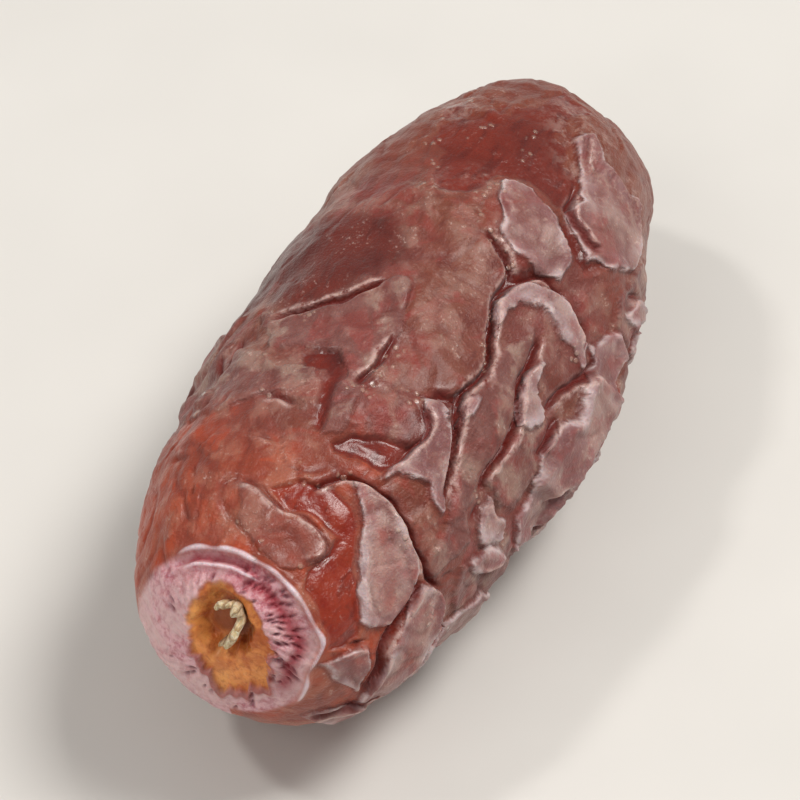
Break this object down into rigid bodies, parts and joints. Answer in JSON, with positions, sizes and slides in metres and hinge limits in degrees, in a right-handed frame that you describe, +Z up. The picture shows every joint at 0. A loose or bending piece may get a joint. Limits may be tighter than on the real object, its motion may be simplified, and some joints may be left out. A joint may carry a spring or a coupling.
{
  "type": "piarom date",
  "caption": "Single dry date fruit lying on its side: long blunt body with folded papery skin, a round stalk scar and a torn stalk fibre in its pit.",
  "frame": {"origin": "on the surface that the date rests on, under the middle of its bounding box", "axes": "+X along the date from the stalk scar to the tip, +Z up, -Y towards the front where the long folds show"},
  "size_m": [0.0534, 0.024, 0.021],
  "materials": {
    "date_skin": "satin",
    "stalk_fibre": "matte"
  },
  "bodies": {
    "root": {"fruit": "date_skin", "stalk_fibre": "stalk_fibre"}
  },
  "joints": []
}
